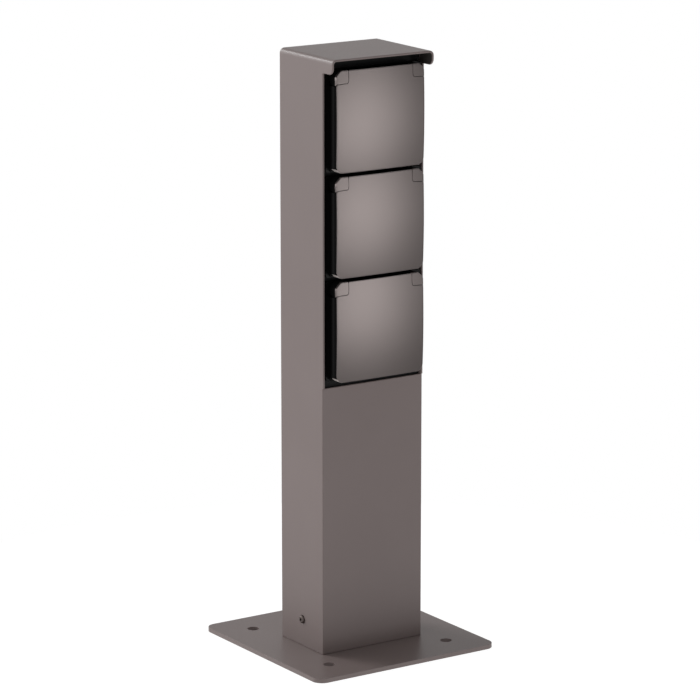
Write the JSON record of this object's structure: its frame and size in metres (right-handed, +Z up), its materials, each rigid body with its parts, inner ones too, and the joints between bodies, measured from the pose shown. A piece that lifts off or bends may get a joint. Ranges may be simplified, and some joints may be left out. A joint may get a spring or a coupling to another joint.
{
  "type": "garden socket post",
  "caption": "Folded sheet garden post on a square base plate, with a hood over a column of weatherproof plug sockets under sprung, crowned hinged lids.",
  "frame": {"origin": "centre of the base plate's underside", "axes": "+Z up along the post, -Y the side with the socket lids, +X to the right seen from the front"},
  "size_m": [0.144, 0.144, 0.408],
  "materials": {
    "powder_coat": "satin fine-texture powder coat, warm grey",
    "lid_paint": "smooth satin lacquer in the housing's colour",
    "black_plastic": "glossy moulded black thermoplastic",
    "black_coat": "matt black coat",
    "zinc_steel": "zinc plated",
    "screw_steel": "turned, plated",
    "spring_steel": "drawn",
    "brass": "turned",
    "rubber": "matt",
    "terminal_brown": "moulded",
    "terminal_green": "moulded",
    "terminal_blue": "moulded",
    "wire_brown": "extruded insulation",
    "wire_green": "extruded insulation",
    "wire_blue": "extruded insulation"
  },
  "bodies": {
    "post": {"base_plate": "powder_coat", "foot_bracket": "zinc_steel", "side_screws": "screw_steel", "cable_grommet": "rubber", "earth_stud": "brass", "post_shell": "powder_coat", "front_panel": "powder_coat", "rear_panel": "powder_coat", "socket_carrier": "black_coat", "frame_screws": "screw_steel", "mounting_rail": "zinc_steel", "terminal_live": "terminal_brown", "terminal_earth": "terminal_green", "terminal_neutral": "terminal_blue", "wire_live": "wire_brown", "wire_earth": "wire_green", "wire_neutral": "wire_blue", "socket_frame_1": "black_plastic", "socket_frame_2": "black_plastic", "socket_frame_3": "black_plastic", "socket_insert_1": "black_plastic", "socket_insert_2": "black_plastic", "socket_insert_3": "black_plastic", "contact_block_1": "black_plastic", "contact_block_2": "black_plastic", "contact_block_3": "black_plastic", "earth_strap_1": "spring_steel", "earth_strap_2": "spring_steel", "earth_strap_3": "spring_steel", "contact_sleeves_1": "brass", "contact_sleeves_2": "brass", "contact_sleeves_3": "brass", "hinge_corners_1": "lid_paint", "hinge_corners_2": "lid_paint", "hinge_corners_3": "lid_paint", "hinge_pin_1": "spring_steel", "hinge_pin_2": "spring_steel", "hinge_pin_3": "spring_steel", "lid_spring_1": "spring_steel", "lid_spring_2": "spring_steel", "lid_spring_3": "spring_steel"},
    "lid_1": {"lid_cover_1": "lid_paint", "lid_pan_1": "black_plastic", "lid_seal_1": "rubber"},
    "lid_2": {"lid_cover_2": "lid_paint", "lid_pan_2": "black_plastic", "lid_seal_2": "rubber"},
    "lid_3": {"lid_cover_3": "lid_paint", "lid_pan_3": "black_plastic", "lid_seal_3": "rubber"}
  },
  "joints": [
    {"name": "lid_1_hinge", "type": "hinge", "parent": "post", "child": "lid_1", "pos_m": [0, -0.0338, 0.395], "axis": [-1, 0, 0], "range_deg": [0, 100], "stiffness_Nm_per_rad": 0.012, "springref_deg": -34.38, "deforming": ["lid_spring_1"]},
    {"name": "lid_2_hinge", "type": "hinge", "parent": "post", "child": "lid_2", "pos_m": [0, -0.0338, 0.3249], "axis": [-1, 0, 0], "range_deg": [0, 100], "stiffness_Nm_per_rad": 0.012, "springref_deg": -34.38, "deforming": ["lid_spring_2"]},
    {"name": "lid_3_hinge", "type": "hinge", "parent": "post", "child": "lid_3", "pos_m": [0, -0.0338, 0.2548], "axis": [-1, 0, 0], "range_deg": [0, 100], "stiffness_Nm_per_rad": 0.012, "springref_deg": -34.38, "deforming": ["lid_spring_3"]}
  ]
}
